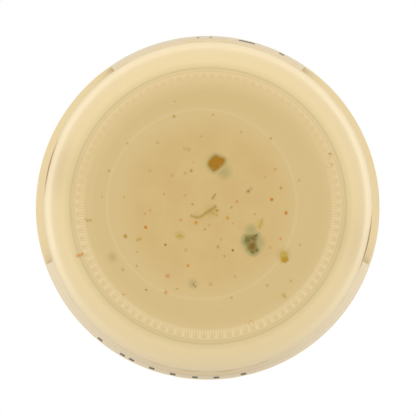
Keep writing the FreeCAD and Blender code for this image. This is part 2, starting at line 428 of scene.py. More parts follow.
BASE_TOP, BASE_EDGE = 3.2, 33
BAFFLE_SHIFT = Vector((1.5 * MM, 0.4 * MM, 0))
SHIFT_ENDS = 28.6
lowered = 0
for vert in bm.verts:
    radius = radius_of(vert)
    if vert.co.z < BASE_TOP * MM and radius < BASE_EDGE:
        height = LAND * MM * crest(vert)
        vert.co.z -= height
        lowered += height > 0
        fade = (SHIFT_ENDS - radius) / (SHIFT_ENDS - BAFFLE_RADIUS - BAFFLE_HALF)
        vert.co += BAFFLE_SHIFT * min(1.0, max(0.0, fade))
    elif BASE_EDGE < radius < WIDEST - 0.2 and on_mould_seam(vert):
        vert.co.x *= 1 + MOULD_SEAM_PROUD / radius
print("points lowered into bars", lowered)

# %% Glass piece
jar = make_object(bm, "jar_glass", glass_material(), crease=70)
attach(jar, "root")
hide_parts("jar")

# %% [markdown]
# ## Cheese dip
#
# Queso is a smooth emulsion of cheese, starch and milk, cooked and poured hot. It looks like thick
# cream: matt where it wets the glass, a little translucent, with faint clouds of a deeper yellow.
# Against the thick glass of the heel and wall it takes in light from the side and looks paler, and
# the glass there adds a pale reflection. Both are painted into the dip's colour as paler rings, with
# one darker ring of painted shade under the base's seam. Bits that lie deeper show as dim patches
# through it. A real scatter of light could be traced, but it is slow and noisy behind glass, so the
# painted light and the patches are worked out from the place on the piece.

# %% Cloudy cream
DIP_DEEP, DIP_WARM = "#D9B67B", "#DCBB80"
TO_MM = 1000.0


def dip_tone(tree, place):
    """Cloudy cream colour of the dip, worked out from the object's own coordinates."""
    clouds = add_node(tree, "ShaderNodeTexNoise",
                      {"Vector": place.outputs["Object"], "Scale": 160.0, "Detail": 4.0})
    return colour_ramp(tree, clouds.outputs["Fac"], [(0.35, hex_to_linear(DIP_DEEP)),
                                                     (0.65, hex_to_linear(DIP_WARM))])


# %% Painted light, reflection and shade, paler towards the wall
# Rings of painted light and reflection from the middle out, with one darker ring of painted shade
# under the base's seam: where each starts to show, where it is full, and its colour.
DIP_RINGS = [
    (16.0, 23.0, "#DEBF89"), (27.8, 30.5, "#E4C692"), (30.6, 31.6, "#EBCD9B"),
    (32.05, 32.5, "#E0C48F"), (32.6, 33.0, "#E9D0A3"), (33.1, 33.5, "#F0D5A2"),
    (33.5, 34.3, "#FADEAE"), (34.3, 35.4, "#FAE0B3"), (35.4, 36.5, "#ECD19D")]
# Painted light on the dip's wall, from the heel upwards.
DIP_WALL = "#FADBA0"
WALL_HEIGHTS = (10.0, 16.0)


def edge_light(tree, colour, radius):
    for start, end, code in DIP_RINGS:
        colour = paint(tree, colour, code, remap(tree, radius, start, end))
    return colour


def wall_light(tree, colour, height):
    start, end = WALL_HEIGHTS
    return paint(tree, colour, DIP_WALL, remap(tree, height, start * MM, end * MM))


# %% [markdown]
# ## Light that the glass throws on the dip
#
# Bars and marks in the base work as small lenses. Between the bars they throw pale stripes on the
# dip, strongest at the front and weak at the back, and the baffle circle throws one thin pale ring.
# A path tracer would need caustics for that, which are noisy, so both are painted on the dip from
# the same count and radius that shaped the glass.

# %% Stripes and ring of light
BAR_GLOW = "#F8DFB0"
BAR_LIGHT = 0.6
BAR_LIGHT_STARTS = (KNURL_BAND[0], KNURL_BAND[0] + 1.0)
BAR_LIGHT_STOPS = (KNURL_BAND[1] + 0.1, KNURL_BAND[1] - 0.7)
BAR_LIGHT_BACK, BAR_LIGHT_FRONT = 22.0, -12.0
BAR_LIGHT_LEAST = 0.1
BAFFLE_GLOW = "#F4DEB2"
BAFFLE_LIGHT = 0.12
BAFFLE_LIGHT_EDGES = [(BAFFLE_RADIUS - 0.4, BAFFLE_RADIUS - 0.05),
                      (BAFFLE_RADIUS + 0.05, BAFFLE_RADIUS + 0.4)]


def bar_light(tree, colour, radius, x, y):
    angle = maths(tree, "ARCTAN2", y, x)
    wave = maths(tree, "COSINE", maths(tree, "MULTIPLY", angle, float(KNURLS)))
    share = remap(tree, wave, -1.0, 1.0, BAR_LIGHT, 0.0, kind="LINEAR")
    for window in (remap(tree, radius, *BAR_LIGHT_STARTS), remap(tree, radius, *BAR_LIGHT_STOPS),
                   remap(tree, y, BAR_LIGHT_BACK * MM, BAR_LIGHT_FRONT * MM, BAR_LIGHT_LEAST)):
        share = maths(tree, "MULTIPLY", share, window)
    return paint(tree, colour, BAR_GLOW, share)


def baffle_light(tree, colour, flat):
    away = vector_maths(tree, "DISTANCE", flat, (BAFFLE_SHIFT / MM)[:], output="Value")
    rise, fall = [remap(tree, away, start, end, 0.0, BAFFLE_LIGHT)
                  for start, end in BAFFLE_LIGHT_EDGES]
    return paint(tree, colour, BAFFLE_GLOW, maths(tree, "SUBTRACT", rise, fall))


# %% Dim patches
GREY_GREEN, BROWN_GREEN, OCHRE, SMOKE = "#A79A68", "#9A844C", "#B8923C", "#8F8466"
FADED_OLIVE, STALK, WARM_STALK, LIME = "#A08F62", "#A98F4C", "#B08B45", "#B5A24A"
# Each bit that lies under the surface: x, y, reach in millimetres, strength, colour.
DIM_PATCHES = [
    (-10.28, -5.68, 2.3, 0.70, GREY_GREEN), (-12.18, -8.68, 2.3, 0.55, GREY_GREEN),
    (-10.48, -9.18, 4.2, 0.50, GREY_GREEN), (-9.28, -8.08, 1.9, 0.85, BROWN_GREEN),
    (-10.48, -9.88, 2.0, 0.85, BROWN_GREEN), (-11.48, -7.38, 1.5, 0.50, BROWN_GREEN),
    (-3.88, 8.02, 2.7, 0.62, GREY_GREEN), (-9.6, 3.5, 0.9, 0.50, SMOKE),
    (-10.2, 4.1, 0.8, 0.40, SMOKE), (3.6, -18.6, 1.9, 0.40, SMOKE),
    (23.5, -12.6, 2.0, 0.38, FADED_OLIVE), (-0.88, -1.08, 2.6, 0.30, STALK),
    (2.52, -2.58, 1.8, 0.22, WARM_STALK), (-18.18, -11.88, 2.6, 0.55, OCHRE),
    (-1.78, 10.22, 3.5, 0.55, OCHRE), (6.72, -7.08, 1.5, 0.40, OCHRE),
    (-12.48, -4.08, 1.5, 0.25, LIME)]
print("dim patches", len(DIM_PATCHES))


def dim_patches(tree, colour, place):
    in_mm = vector_maths(tree, "MULTIPLY", place, (TO_MM, TO_MM, TO_MM))
    for x, y, reach, strength, code in DIM_PATCHES:
        apart = vector_maths(tree, "DISTANCE", in_mm, (x, y, FLOOR), output="Value")
        colour = paint(tree, colour, code, remap(tree, apart, 0.0, reach, strength, 0.0))
    return colour


# %% Dip material
def dip_material():
    material, tree = new_material("poured_cheese_dip")
    place = add_node(tree, "ShaderNodeTexCoord")
    flat = vector_maths(tree, "MULTIPLY", place.outputs["Object"], (TO_MM, TO_MM, 0.0))
    radius = vector_maths(tree, "LENGTH", flat, output="Value")
    axes = add_node(tree, "ShaderNodeSeparateXYZ", {0: place.outputs["Object"]})
    colour = edge_light(tree, dip_tone(tree, place), radius)
    colour = bar_light(tree, colour, radius, axes.outputs["X"], axes.outputs["Y"])
    colour = baffle_light(tree, colour, flat)
    colour = wall_light(tree, colour, axes.outputs["Z"])
    colour = dim_patches(tree, colour, place.outputs["Object"])
    dip = add_node(tree, "ShaderNodeBsdfPrincipled", {
        "Base Color": colour, "Roughness": 0.55, "Specular IOR Level": 0.12})
    finish_material(tree, dip.outputs["BSDF"])
    return material


# %% [markdown]
# ## The dip's body
#
# The dip takes the shape of the hollow up to its level, where the headspace starts. If it stopped
# at the wall, two surfaces would lie in one place and a dark gap of air would flicker between them,
# so it reaches a tenth of a millimetre into the glass.

# %% Dip piece
DIP_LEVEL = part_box("queso")[1].z / MM
INTO_WALL = 0.12
bm = bmesh.new()
underside = FLOOR - INTO_WALL
chain(bm, [(0, underside, 0), (9.0, underside, 0), (18.0, underside, 0),
           *hollow_corners(INTO_WALL), (NECK - WALL + INTO_WALL, DIP_LEVEL, 0.4),
           (18.0, DIP_LEVEL, 0), (0, DIP_LEVEL, 0)])
spin(bm, 256)
dip = make_object(bm, "queso_dip", dip_material())
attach(dip, "root")
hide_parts("queso")

# %% [markdown]
# ## Bits in the dip
#
# The cook stirs in diced peppers, chilli flakes and herbs. Those that touch the glass show as clear
# coloured bits and the rest stay hidden. They could be scattered at random, but a real jar has each
# in its own place, so short tables say where they lie. Each kind is one piece. Every bit is laid on
# the skin of the dip, which is flat in the middle and turns up along the rounding of the heel.

# %% Where the dip meets the glass
BIT_PROUD = 0.02
STEEPEST = 0.97
heel_turn = math.pi / 2 - math.atan(PANEL_LEAN)
heel_centre = (panel_radius(FLOOR) - WALL + INTO_WALL
               - FLOOR_ROUNDING * math.tan(heel_turn / 2))
print("the dip's flat underside ends at radius", round(heel_centre, 2))


def dip_skin(x, y):
    """Height and upward lean of the dip's underside at a place, in millimetres."""
    radius = math.hypot(x, y)
    if radius <= heel_centre:
        return FLOOR - INTO_WALL, Vector((0, 0, 1))
    out = min(STEEPEST, (radius - heel_centre) / FLOOR_ROUNDING)
    up = math.sqrt(1 - out * out)
    lean = Vector((-x / radius * out, -y / radius * out, up))
    return FLOOR - INTO_WALL + FLOOR_ROUNDING * (1 - up), lean


def settle(x, y, turn=0.0, proud=BIT_PROUD):
    """Matrix that lays a flat lump against the glass at a place."""
    height, lean = dip_skin(x, y)
    centre = Vector((x, y, height)) * MM - lean * proud * MM
    tilt = Vector((0, 0, 1)).rotation_difference(lean).to_matrix().to_4x4()
    return Matrix.Translation(centre) @ tilt @ Matrix.Rotation(math.radians(turn), 4, "Z")


# %% [markdown]
# ## Skin of the bits
#
# A bit is never one flat colour: its middle touches the glass and its rim sinks under a film of dip.
# Each mesh carries an attribute, bare, that is 1 where the bit is uncovered. The material reads it
# and goes from the ground, the dip's own cloudy cream unless another colour is given, to the rim's
# tone and then to the core's. Fine noise breaks the edge up, as torn vegetable skin does.

# %% Bit material
RIM_SHOWS, CORE_SHOWS = (0.0, 0.55), (0.4, 0.95)


def bit_material(name, core, rim, ground=None):
    """Vegetable skin under a thin film of dip; the bare attribute is 1 where it is uncovered."""
    material, tree = new_material(name)
    bare = add_node(tree, "ShaderNodeAttribute", attribute_name="bare")
    place = add_node(tree, "ShaderNodeTexCoord")
    speck = add_node(tree, "ShaderNodeTexNoise",
                     {"Vector": place.outputs["Object"], "Scale": 1600.0, "Detail": 3.0})
    lift = remap(tree, speck.outputs["Fac"], 0.3, 0.7, 0.75, 1.25, kind="LINEAR")
    uneven = maths(tree, "MULTIPLY", bare.outputs["Fac"], lift)
    colour = hex_to_linear(ground) if ground else dip_tone(tree, place)
    colour = paint(tree, colour, rim, remap(tree, uneven, *RIM_SHOWS))
    colour = paint(tree, colour, core, remap(tree, uneven, *CORE_SHOWS))
    skin = add_node(tree, "ShaderNodeBsdfPrincipled", {
        "Base Color": colour, "Roughness": 0.45, "Specular IOR Level": 0.12})
    finish_material(tree, skin.outputs["BSDF"])
    return material


# %% [markdown]
# ## Lumps, slices and strands
#
# Small bits are lumps: a sphere that is flattened below, roughened with noise and laid on the dip's
# skin. Larger ones are slices with a drawn outline, rounded by cutting its corners twice and given
# a rim of inset bands, each more uncovered than the last. Strands are strings of overlapping lumps,
# because a chopped stalk is lumpy and never one even tube.

# %% Lumps
LUMP_UNEVEN = 0.3
LUMP_WAVES = 2.6
FINE_FROM = 0.9


def bare_layer(bm):
    return bm.verts.layers.float.get("bare") or bm.verts.layers.float.new("bare")


def add_lump(bm, x, y, width, length, turn, seed):
    """A flattened, uneven lump that bulges up into the dip."""
    layer = bare_layer(bm)
    detail = 3 if max(width, length) > FINE_FROM else 2
    made = bmesh.ops.create_icosphere(bm, subdivisions=detail, radius=0.5)["verts"]
    place = settle(x, y, turn)
    for vert in made:
        shift = Vector((seed, 0.7 * seed, 0))
        push = 1 + LUMP_UNEVEN * noise.noise(vert.co * LUMP_WAVES + shift)
        rim = min(1.0, math.hypot(vert.co.x, vert.co.y) * 2)
        vert[layer] = 1 - rim ** 2
        deep = vert.co.z * min(width, length) if vert.co.z > 0 else -0.05 * (1 - rim ** 2)
        flat = Vector((vert.co.x * width * push, vert.co.y * length * push, deep))
        vert.co = place @ (flat * MM)


# %% Slices
RIM_STEPS = (0.04, 0.14, 0.34, 0.62, 0.95)


def round_off(outline):
    """The outline with every corner cut at a quarter of its sides."""
    pairs = list(zip(outline, [*outline[1:], outline[0]]))
    return [(x0 + (x1 - x0) * share, y0 + (y1 - y0) * share)
            for (x0, y0), (x1, y1) in pairs for share in (0.25, 0.75)]


def add_slice(bm, outline, rim, thickness, proud=BIT_PROUD):
    """A slice with a drawn outline; its rim is an inset band where the film thickens."""
    layer = bare_layer(bm)
    corners = [bm.verts.new(settle(x, y, proud=proud).translation)
               for x, y in round_off(round_off(outline))]
    face = bm.faces.new(corners)
    if face.normal.z > 0:
        face.normal_flip()
    for value in RIM_STEPS:
        bmesh.ops.inset_region(bm, faces=[face], thickness=rim / len(RIM_STEPS) * MM,
                               use_boundary=True, use_even_offset=True)
        for vert in face.verts:
            vert[layer] = value
    sides = [edge for edge in bm.edges if edge.is_boundary]
    walls = bmesh.ops.extrude_edge_only(bm, edges=sides)["geom"]
    raised = [item for item in walls if isinstance(item, bmesh.types.BMVert)]
    bmesh.ops.translate(bm, vec=(0, 0, thickness * MM), verts=raised)
    bmesh.ops.holes_fill(bm, edges=[edge for edge in bm.edges if edge.is_boundary])
    bmesh.ops.recalc_face_normals(bm, faces=bm.faces)


# %% Strands
STRAND_STEP = 0.45
STRAND_OVERLAP = 1.9


def add_strand(bm, points, widths):
    """A thin strand as a string of overlapping lumps along a bent line."""
    for index in range(len(points) - 1):
        (x0, y0), (x1, y1) = points[index], points[index + 1]
        length = math.hypot(x1 - x0, y1 - y0)
        count = max(1, round(length / STRAND_STEP))
        for step in range(count):
            share = (step + 0.5) / count
            width = widths[index] + (widths[index + 1] - widths[index]) * share
            add_lump(bm, x0 + (x1 - x0) * share, y0 + (y1 - y0) * share,
                     length / count * STRAND_OVERLAP, width,
                     math.degrees(math.atan2(y1 - y0, x1 - x0)), index + step)


# %% One piece of bits
def add_bits(name, bm, skin, core, rim, ground=None):
    """The piece for one kind of bit; skin names its material."""
    piece = make_object(bm, name, bit_material(skin, core, rim, ground))
    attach(piece, "root")


# %% [markdown]
# ## Flakes and specks
#
# Chilli flakes are crushed dried skins, orange to red, and paler where the dip has run over them.
# The peppers leave pink, gold and olive specks, and a few that were charred are dark. Each row gives
# a bit's place, x and y, and its size, all in millimetres. A random stretch and turn keeps any two
# from looking alike.

# %% Chilli flakes
ORANGE = [(-4.58, -2.88, 0.75), (-1.98, -2.18, 0.60), (2.92, -3.98, 0.85), (3.72, 0.42, 0.60),
          (4.82, -14.28, 0.70), (-3.88, -11.98, 0.60), (-6.88, 1.02, 0.55)]
RED = [(14.92, -5.08, 0.85), (-15.18, 1.52, 0.75), (-18.68, -1.68, 0.75)]
PALE_ORANGE = [(6.52, -3.38, 0.65), (-20.2, -18.3, 0.6), (-17.38, -7.88, 0.65),
               (10.52, 2.82, 0.55), (-14.98, 16.12, 0.5), (19.32, 14.92, 0.5),
               (25.82, 2.22, 0.5), (-1.18, 21.92, 0.5), (-29.08, 9.72, 0.5),
               (16.92, -10.98, 0.45), (-10.38, -27.98, 0.5), (8.12, 25.72, 0.45),
               (10.12, -20.68, 0.65), (15.1, -1.9, 0.6), (13.9, -1.1, 0.5)]
print("chilli flakes", len(ORANGE), len(RED), len(PALE_ORANGE))

# %% Pepper specks
PINK = [(9.72, -16.78, 1.05), (-5.88, -4.18, 0.45), (-29.0, 12.3, 0.7), (20.2, -21.3, 0.55)]
GOLD = [(-17.38, 4.32, 0.6), (8.22, 21.52, 0.6), (-2.08, -1.08, 0.9), (-1.68, -0.28, 0.6),
        (7.42, -19.88, 0.45), (4.02, 8.42, 0.8), (19.8, -7.25, 0.85),
        (29.2, -3.55, 0.6)]
OLIVE = [(-5.58, -0.38, 0.70), (-1.18, -1.78, 0.75), (-11.18, -1.98, 0.55), (-2.38, -9.78, 0.70),
         (0.82, -5.58, 0.65), (23.92, 8.52, 0.70)]
DARK = [(10.22, -9.28, 0.60), (-5.88, -10.58, 0.60), (15.12, -20.48, 0.65), (13.32, 33.72, 0.65),
        (3.5, -18.75, 0.45), (3.05, -19.25, 0.55),
        (-9.6, 3.5, 0.55)]
print("pepper specks", len(PINK), len(GOLD), len(OLIVE), len(DARK))

# %% Specks under a film of dip
FAINT = [(4.62, 13.52, 0.9), (8.62, 7.32, 0.8), (5.52, 7.82, 0.8), (3.52, 10.52, 0.5),
         (5.52, 2.52, 0.7), (-15.98, 8.72, 0.8), (-13.58, 6.92, 0.6), (-0.58, -18.68, 0.9),
         (-5.58, -21.88, 0.7), (-18.48, -21.78, 0.8), (-14.38, -19.28, 0.8),
         (-14.88, -9.88, 0.7), (-0.18, -4.58, 0.6), (5.32, -10.48, 0.8), (13.82, 8.42, 0.7),
         (-3.08, -7.98, 0.7), (12.12, 15.12, 0.6), (-21.88, 6.12, 0.6),
         (-7.88, 17.62, 0.6), (20.12, 2.12, 0.6), (-22.38, -9.38, 0.6), (17.12, -14.38, 0.6),
         (-6.38, -16.88, 0.6), (1.62, 16.62, 0.6), (20.9, -15.6, 0.8), (5.6, 13.7, 0.8)]
print("sunken specks", len(FAINT))

# %% Pieces for the flakes and specks
WIDER = 1.3
for name, rows, core, rim in (
        ("chilli_flakes_orange", ORANGE, "#D6922A", "#D6A864"),
        ("chilli_flakes_red", RED, "#D27A14", "#D69E54"),
        ("chilli_flakes_pale", PALE_ORANGE, "#DC984A", "#DBAC6C"),
        ("sweet_pepper_flecks", PINK, "#D69562", "#D9AC76"),
        ("pepper_specks_gold", GOLD, "#BE9240", "#C9A862"),
        ("pepper_specks_olive", OLIVE, "#BE9C4C", "#CBAD6A"),
        ("pepper_specks_dark", DARK, "#94703A", "#B4965E"),
        ("sunken_specks", FAINT, "#CFA862", "#D4B274")):
    bm = bmesh.new()
    for index, (x, y, size) in enumerate(rows):
        stretch = random.uniform(0.75, 1.1)
        add_lump(bm, x, y, size * WIDER, size * WIDER * stretch, random.uniform(0, 180), index + 3)
    add_bits(name, bm, name + "_skin", core, rim)

# %% [markdown]
# ## Shreds and stalks
#
# A sweet pepper shred lies across the seam, a soft onion shred in the middle, and chopped herb
# stalks sink in and come up again. Each is a bent line of a few points with a width at each, which
# is easier to read and to change than a sculpted mesh.

# %% Shreds
bm = bmesh.new()
add_strand(bm, [(31.3, -11.95), (30.6, -11.7), (29.8, -11.4)], [0.7, 0.9, 1.0])
add_bits("sweet_pepper_shred", bm, "sweet_pepper_skin", "#E59A54", "#E6B682")
bm = bmesh.new()
add_strand(bm, [(17.1, -8.2), (16.1, -7.75)], [0.9, 0.9])
add_bits("onion_shred", bm, "soft_onion", "#CBA350", "#D2B06C")

# %% [markdown]
# ## Golden pepper slice
#
# One diced piece of golden pepper lies flat on the glass, five by six millimetres, deep gold in the
# middle. Its outline is drawn by ten corners, because a cut piece has a shape that noise can't give.

# %% Golden pepper slice
GOLD_SLICE = [(-1.6, 13.0), (-3.0, 12.5), (-4.8, 11.7), (-4.7, 9.9), (-3.3, 8.5),
              (-1.5, 7.4), (-0.2, 8.1), (0.8, 9.6), (0.6, 11.0), (-0.4, 12.2)]
bm = bmesh.new()
add_slice(bm, GOLD_SLICE, 1.3, 1.2)
add_bits("pepper_slice_gold", bm, "golden_pepper_skin", "#AC7608", "#B59A5C", "#D0B57B")

# %% [markdown]
# ## Green chilli clump
#
# A roasted green chilli comes as a clump: pale flesh, black-green pieces of charred skin and a brown
# core. The flesh is a slice that lies a little deeper, so that the lumps of skin and core stand out
# of it towards the glass. Their ground colour is the flesh's rim, because that is what is under them.

# %% Green chilli clump
FLESH, FLESH_RIM = "#9C8B4F", "#B3A268"
CLUMP = [(-8.2, -6.5), (-10.3, -6.2), (-12.5, -6.0), (-12.5, -7.8), (-12.2, -9.0),
         (-12.9, -10.8), (-10.9, -12.6), (-8.8, -11.0), (-8.4, -9.6), (-7.6, -8.8)]
DEEPER = 0.005
bm = bmesh.new()
add_slice(bm, CLUMP, 1.1, 1.4, proud=DEEPER)
add_bits("green_chilli_slice", bm, "green_chilli_skin", FLESH, FLESH_RIM, "#C0AA74")

# %% Charred pieces and core
CHARRED = [(-9.5, -8.1, 1.5, 1.8, 15), (-10.7, -7.8, 2.0, 1.2, 10),
           (-10.6, -11.0, 1.0, 0.8, 28), (-11.6, -10.6, 0.9, 1.0, 0)]
bm = bmesh.new()
for index, (x, y, width, length, turn) in enumerate(CHARRED):
    add_lump(bm, x, y, width, length, turn, index)
add_bits("green_chilli_pieces", bm, "charred_chilli_skin", "#816E36", "#8C7A42", FLESH)
bm = bmesh.new()
add_lump(bm, -10.5, -9.65, 2.1, 2.5, 20, 4)
add_bits("roasted_chilli_core", bm, "roasted_chilli_flesh", "#876325", "#8F7436", FLESH)

# %% [markdown]
# ## Pickled pepper pieces
#
# Pickled peppers keep a yellow-green rind. One chunk, with a darker heart in its lower end, one small
# lump and one sliver touch the glass. The chunk is a slice and the rest are lumps, as above.

# %% Pickled pepper pieces
PICKLE = [(-17.0, -13.7), (-19.6, -13.8), (-19.6, -12.3), (-19.4, -10.6), (-17.3, -10.3),
          (-16.7, -11.9)]
bm = bmesh.new()
add_slice(bm, PICKLE, 0.85, 1.0, proud=DEEPER)
add_lump(bm, 6.85, -7.1, 2.3, 1.6, 8, 14)
add_bits("pickled_pepper_pieces", bm, "pickled_pepper_skin", "#C8A54A", "#CDAF68")
bm = bmesh.new()
add_lump(bm, -18.4, -12.9, 2.0, 1.5, 0, 5)
add_bits("pickled_pepper_heart", bm, "pickled_pepper_flesh", "#B99020", "#BF9A38", "#C09A40")
bm = bmesh.new()
add_strand(bm, [(-12.2, -5.4), (-12.6, -4.1), (-12.95, -3.1)], [1.0, 1.1, 0.7])
add_bits("pickled_pepper_sliver", bm, "pickled_rind", "#C6A84C", "#D0B36A")

# %% Herb strands
bm = bmesh.new()
add_strand(bm, [(4.2, -2.3), (3.05, -2.7), (1.85, -2.7), (0.85, -1.9), (-0.1, -1.3),
                (-1.1, -0.7), (-1.95, 0.0)], [0.8, 0.9, 0.9, 1.0, 1.6, 1.4, 0.9])
add_strand(bm, [(-1.0, 1.6), (-1.4, 2.3), (-1.8, 2.95)], [1.0, 0.8, 0.5])
add_bits("herb_strands", bm, "softened_herb_stalk", "#BC964A", "#C9A96E")

# %% [markdown]
# ## Painted shade on the heel
#
# Two thin brown lines of painted shade lie on the heel, one on each side and half a turn apart, near
# the upright seams of the mould, where the glass shows a dark line of shade. A painted stroke in the
# glass material would have to follow the rounding, so each line is its own thin mesh: a strip of
# fine squares is bent round the heel, swells in the middle, tapers to both ends and gets a little
# thickness.

# %% Painted shade strips on the heel
HEEL_CENTRE = (33.34, LAND + HEEL_ROUNDING)
HEEL_MARK_DROP = math.radians(14.8)
HEEL_MARK_WIDTH = 1.5
HEEL_MARK_PROUD = 0.03
HEEL_MARKS = [(181.5, 203.5), (3.5, 24.5)]


def add_heel_mark(bm, start, end):
    """A thin tapered strip of painted shade on the rounding of the heel, between two directions in
    degrees.
    """
    layer = bare_layer(bm)
    made = bmesh.ops.create_grid(bm, x_segments=32, y_segments=4, size=0.5)["verts"]
    reach = HEEL_ROUNDING + HEEL_MARK_PROUD
    for vert in made:
        along, across = vert.co.x + 0.5, vert.co.y * 2
        swell = math.sin(math.pi * along) ** 0.8
        vert[layer] = (1 - across * across) * (0.35 + 0.65 * swell)
        angle = math.radians(start + (end - start) * along)
        drop = HEEL_MARK_DROP + across * HEEL_MARK_WIDTH / HEEL_ROUNDING / 2 * swell
        radius = HEEL_CENTRE[0] + reach * math.cos(drop)
        height = HEEL_CENTRE[1] - reach * math.sin(drop)
        vert.co = around(radius, angle, height)


bm = bmesh.new()
for start, end in HEEL_MARKS:
    add_heel_mark(bm, start, end)
bmesh.ops.recalc_face_normals(bm, faces=bm.faces)
bmesh.ops.solidify(bm, geom=list(bm.faces), thickness=0.05 * MM)
bmesh.ops.recalc_face_normals(bm, faces=bm.faces)
# The strips' brown is painted shade, a dark line that the glass shows there.
heel_marks = make_object(bm, "heel_marks", bit_material("painted_heel_shade", "#86683C",
                                                        "#C0A070", "#E6CC98"))
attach(heel_marks, "root")

# %% [markdown]
# ## Label sheets
#
# A paper label is printed flat, varnished, cut with rounded corners and wrapped on the jar's panel.
# The mesh goes the same way. The sheet starts as one flat face. Its corners are bevelled, cuts
# divide it so that it can bend, Solidify gives it the paper's thickness, and each point is then
# wrapped on the leaning panel. A Shrinkwrap would do too, but it would stretch the print.

# %% Label sizes
label_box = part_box("label_front")
LABEL_LOW, LABEL_HIGH = label_box[0].z / MM, label_box[1].z / MM
LABEL_TALL = LABEL_HIGH - LABEL_LOW
LABEL_RADIUS = panel_radius((LABEL_LOW + LABEL_HIGH) / 2) + 0.2
LABEL_CORNER = 1.5
STRIP_DEGREES = 1.5
PAPER_THICKNESS = 0.15
PAPER_TOP = 0.18
print("label height", round(LABEL_TALL, 2), "radius", round(LABEL_RADIUS, 2))


# %% Flat sheet
def flat_sheet(length, strips):
    """A flat sheet with rounded corners, cut into upright strips, with a UV map of its print."""
    bm = bmesh.new()
    sheet = bmesh.ops.create_grid(bm, x_segments=1, y_segments=1, size=0.5)["verts"]
    for vert in sheet:
        vert.co = Vector((vert.co.x * length, (vert.co.y + 0.5) * LABEL_TALL, 0))
    bmesh.ops.bevel(bm, geom=sheet, offset=LABEL_CORNER, offset_type="OFFSET", segments=6,
                    profile=0.5, affect="VERTICES", material=-1)
    for index in range(1, int(strips)):
        bmesh.ops.bisect_plane(bm, geom=[*bm.verts, *bm.edges, *bm.faces],
                               plane_co=((index / strips - 0.5) * length, 0, 0),
                               plane_no=(1, 0, 0))
    layer = bm.loops.layers.uv.new("print")
    for face in bm.faces:
        for loop in face.loops:
            loop[layer].uv = (loop.vert.co.x / length + 0.5, loop.vert.co.y / LABEL_TALL)
    bmesh.ops.recalc_face_normals(bm, faces=bm.faces)
    return bm


# %% Wrapped sheet
def label_sheet(name, span, facing, material):
    """A sheet over span degrees of the panel, its middle facing the given way, in degrees."""
    bm = flat_sheet(math.radians(span) * LABEL_RADIUS, span / STRIP_DEGREES)
    bmesh.ops.solidify(bm, geom=list(bm.faces), thickness=PAPER_THICKNESS)
    top = max(vert.co.z for vert in bm.verts)
    for vert in bm.verts:
        angle = math.radians(facing) + vert.co.x / LABEL_RADIUS
        height = LABEL_LOW + vert.co.y
        radius = panel_radius(height) + PAPER_TOP + (vert.co.z - top)
        vert.co = around(radius, angle, height)
    bmesh.ops.recalc_face_normals(bm, faces=bm.faces)
    piece = make_object(bm, name + "_paper", material)
    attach(piece, "root")
    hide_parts(name)


# %% [markdown]
# ## Print
#
# Labels like these are printed in a few flat inks. An image would blur close up, so each ink is a
# mask that the material works out from the sheet's UV map, scaled to millimetres: a box for fields
# and strokes, and a folded wave for the row of triangles. The edges stay sharp at any distance.

# %% Print masks
INK_EDGE = 0.03


def box_mask(tree, across, up, low, high):
    """1 inside a box of the print, from low (x, y) to high (x, y) in millimetres."""
    insides = []
    for value, start, end in ((across, low[0], high[0]), (up, low[1], high[1])):
        middle, half = (start + end) / 2, (end - start) / 2
        away = maths(tree, "ABSOLUTE", maths(tree, "SUBTRACT", value, middle))
        insides.append(remap(tree, away, half + INK_EDGE, half - INK_EDGE, kind="LINEAR"))
    return maths(tree, "MULTIPLY", *insides)


def zigzag_mask(tree, across, up, pitch, base, tall):
    """1 under a row of triangles, each pitch wide, that stand on base and are tall high."""
    wave = maths(tree, "PINGPONG", across, pitch / 2)
    line = maths(tree, "MULTIPLY_ADD", wave, tall / (pitch / 2), base)
    above = maths(tree, "GREATER_THAN", up, base)
    return maths(tree, "MULTIPLY", above, maths(tree, "LESS_THAN", up, line))


# %% Inks and paper
# Each paper has two tones of fibre, and how far the print fades to cream towards both ends.
PAPER = {"front": ("#E3CDA4", "#E9D4AD", 0.5), "back": ("#D9CCAA", "#DFD3B4", 0.1)}
# The darker colour on the next line is painted shade for the paper's side that faces the jar.
CREAM, DRY_GLUE = "#F5E2B8", "#C4AE84"
FIELD_INK, TRIANGLE_INK, LINE_INK = "#E6CB93", "#DDB872", "#C08A4A"
INK_BROWN, INK_GREY = "#41352A", "#8A7A62"
FIELD_LOW, FIELD_HIGH, LINE_HIGH = 9.0, 33.0, 34.2
TRIANGLE_PITCH, TRIANGLE_TALL = 8.8, 7.0
FADE_STARTS, FADE_ENDS = 0.05, 0.6


def glue_side(tree):
    """1 on the face of the sheet that looks towards the jar's axis."""
    axes = add_node(tree, "ShaderNodeTexCoord")
    flat = vector_maths(tree, "MULTIPLY", axes.outputs["Object"], (1.0, 1.0, 0.0))
    outward = vector_maths(tree, "DOT_PRODUCT", flat, axes.outputs["Normal"], output="Value")
    return maths(tree, "LESS_THAN", outward, 0.0)


def printed(tree, colour, x, y, half, fading):
    """Field, triangles and line over the paper, faded to cream towards both ends."""
    colour = paint(tree, colour, FIELD_INK,
                   box_mask(tree, x, y, (-half, FIELD_LOW), (half, FIELD_HIGH)))
    colour = paint(tree, colour, TRIANGLE_INK,
                   zigzag_mask(tree, x, y, TRIANGLE_PITCH, FIELD_LOW, TRIANGLE_TALL))
    colour = paint(tree, colour, LINE_INK,
                   box_mask(tree, x, y, (-half, FIELD_HIGH), (half, LINE_HIGH)))
    return paint(tree, colour, CREAM, fading)


